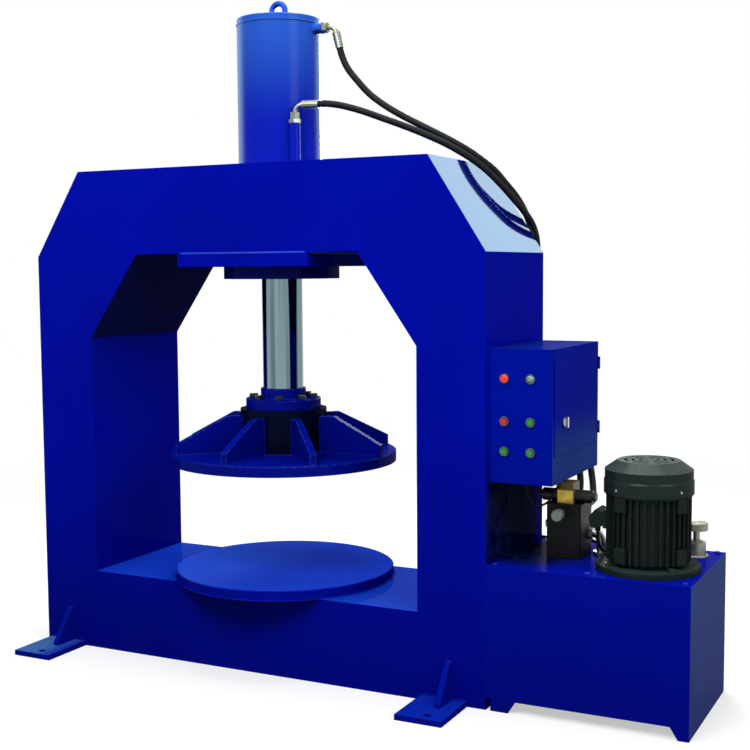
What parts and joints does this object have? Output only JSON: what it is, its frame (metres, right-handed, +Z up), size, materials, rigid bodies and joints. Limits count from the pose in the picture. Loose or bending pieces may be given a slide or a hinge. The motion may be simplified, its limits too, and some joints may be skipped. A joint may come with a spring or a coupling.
{
  "type": "hydraulic tyre press",
  "caption": "Welded portal-frame hydraulic press with a round table, a ribbed round platen on a chromed ram, a side control box and an oil power unit with an upright motor.",
  "frame": {"origin": "press axis at floor level, on the underside of the base plate", "axes": "+X to the right towards the power unit, +Y from the front to the back, +Z up along the press axis"},
  "size_m": [2.652, 1.035, 2.561],
  "materials": {
    "frame_paint": "gloss",
    "cylinder_paint": "gloss",
    "box_paint": "gloss",
    "tank_paint": "gloss",
    "chrome": "polished",
    "steel": "machined",
    "zinc": "plated",
    "valve_gold": "plated",
    "black_steel": "satin",
    "motor_paint": "satin",
    "knob_grey": "satin",
    "gland_plastic": "satin",
    "gear_plastic": "satin",
    "hose_rubber": "matt",
    "lens_red": "gloss",
    "lens_green": "gloss",
    "button_red": "gloss",
    "button_green": "gloss"
  },
  "bodies": {
    "frame": {"front_frame_plate": "frame_paint", "rear_frame_plate": "frame_paint", "outer_skin_plates": "frame_paint", "inner_skin_plates": "frame_paint", "base_plate": "frame_paint", "stiffener_ribs": "frame_paint", "foot_plates": "frame_paint", "foot_gussets": "frame_paint", "table_plate": "frame_paint", "cylinder_mount_plate": "frame_paint", "cylinder_barrel": "cylinder_paint", "cylinder_cap": "cylinder_paint", "cylinder_flange": "cylinder_paint", "flange_bolts": "black_steel", "gland_bush": "steel", "lifting_eye": "cylinder_paint", "rod_side_pipe": "cylinder_paint", "upper_hose_fitting": "zinc", "lower_hose_fitting": "zinc", "cap_side_hose": "hose_rubber", "rod_side_hose": "hose_rubber", "control_box": "box_paint", "operator_bezels": "chrome", "red_lamp": "lens_red", "green_lamp": "lens_green", "control_gear": "gear_plastic", "cable_glands": "gland_plastic", "hinge_pins": "steel", "oil_tank": "tank_paint", "tank_lid": "tank_paint", "lid_bolts": "zinc", "motor_housing": "motor_paint", "motor_flange": "motor_paint", "fan_cover": "motor_paint", "terminal_box": "motor_paint", "gear_pump": "steel", "manifold_block": "black_steel", "directional_valve": "valve_gold", "relief_valve": "zinc", "manifold_fittings": "zinc", "pressure_pipe": "steel", "filler_neck": "chrome", "motor_cable": "hose_rubber", "solenoid_cable": "hose_rubber"},
    "ram": {"piston_rod": "chrome", "piston": "steel", "platen_disc": "frame_paint", "platen_ribs": "frame_paint", "platen_hub": "frame_paint", "clamp_ring": "frame_paint", "clamp_bolts": "zinc"},
    "control_door": {"control_door": "box_paint"},
    "door_lock": {"door_lock": "chrome"},
    "stop_button": {"stop_button": "button_red"},
    "start_button": {"start_button": "button_green"},
    "raise_button": {"raise_button": "button_green"},
    "lower_button": {"lower_button": "button_green"},
    "rotor": {"motor_rotor": "steel"},
    "relief_knob": {"relief_knob": "knob_grey"},
    "filler_cap": {"filler_cap": "chrome"}
  },
  "joints": [
    {"name": "ram_slide", "type": "slide", "parent": "frame", "child": "ram", "axis": [0, 0, 1], "range_m": [-0.33, 0.32]},
    {"name": "door_hinge", "type": "hinge", "parent": "frame", "child": "control_door", "pos_m": [1.2099, 0.242, 1.0605], "axis": [0, 0, 1], "range_deg": [0, 110]},
    {"name": "lock_turn", "type": "hinge", "parent": "control_door", "child": "door_lock", "pos_m": [1.205, -0.1685, 1.004], "axis": [1, 0, 0], "range_deg": [0, 90]},
    {"name": "stop_button_press", "type": "slide", "parent": "frame", "child": "stop_button", "axis": [0, 1, 0], "range_m": [0, 0.004], "stiffness_N_per_m": 600},
    {"name": "start_button_press", "type": "slide", "parent": "frame", "child": "start_button", "axis": [0, 1, 0], "range_m": [0, 0.004], "stiffness_N_per_m": 600},
    {"name": "raise_button_press", "type": "slide", "parent": "frame", "child": "raise_button", "axis": [0, 1, 0], "range_m": [0, 0.004], "stiffness_N_per_m": 600},
    {"name": "lower_button_press", "type": "slide", "parent": "frame", "child": "lower_button", "axis": [0, 1, 0], "range_m": [0, 0.004], "stiffness_N_per_m": 600},
    {"name": "motor_spin", "type": "hinge", "parent": "frame", "child": "rotor", "pos_m": [1.487, -0.0955, 0.6], "axis": [0, 0, 1], "continuous": true},
    {"name": "relief_turn", "type": "hinge", "parent": "frame", "child": "relief_knob", "pos_m": [1.173, -0.115, 0.669], "axis": [0, 1, 0], "range_deg": [-170, 170]},
    {"name": "filler_turn", "type": "hinge", "parent": "frame", "child": "filler_cap", "pos_m": [1.592, 0.1645, 0.6], "axis": [0, 0, 1], "range_deg": [0, 90]}
  ]
}
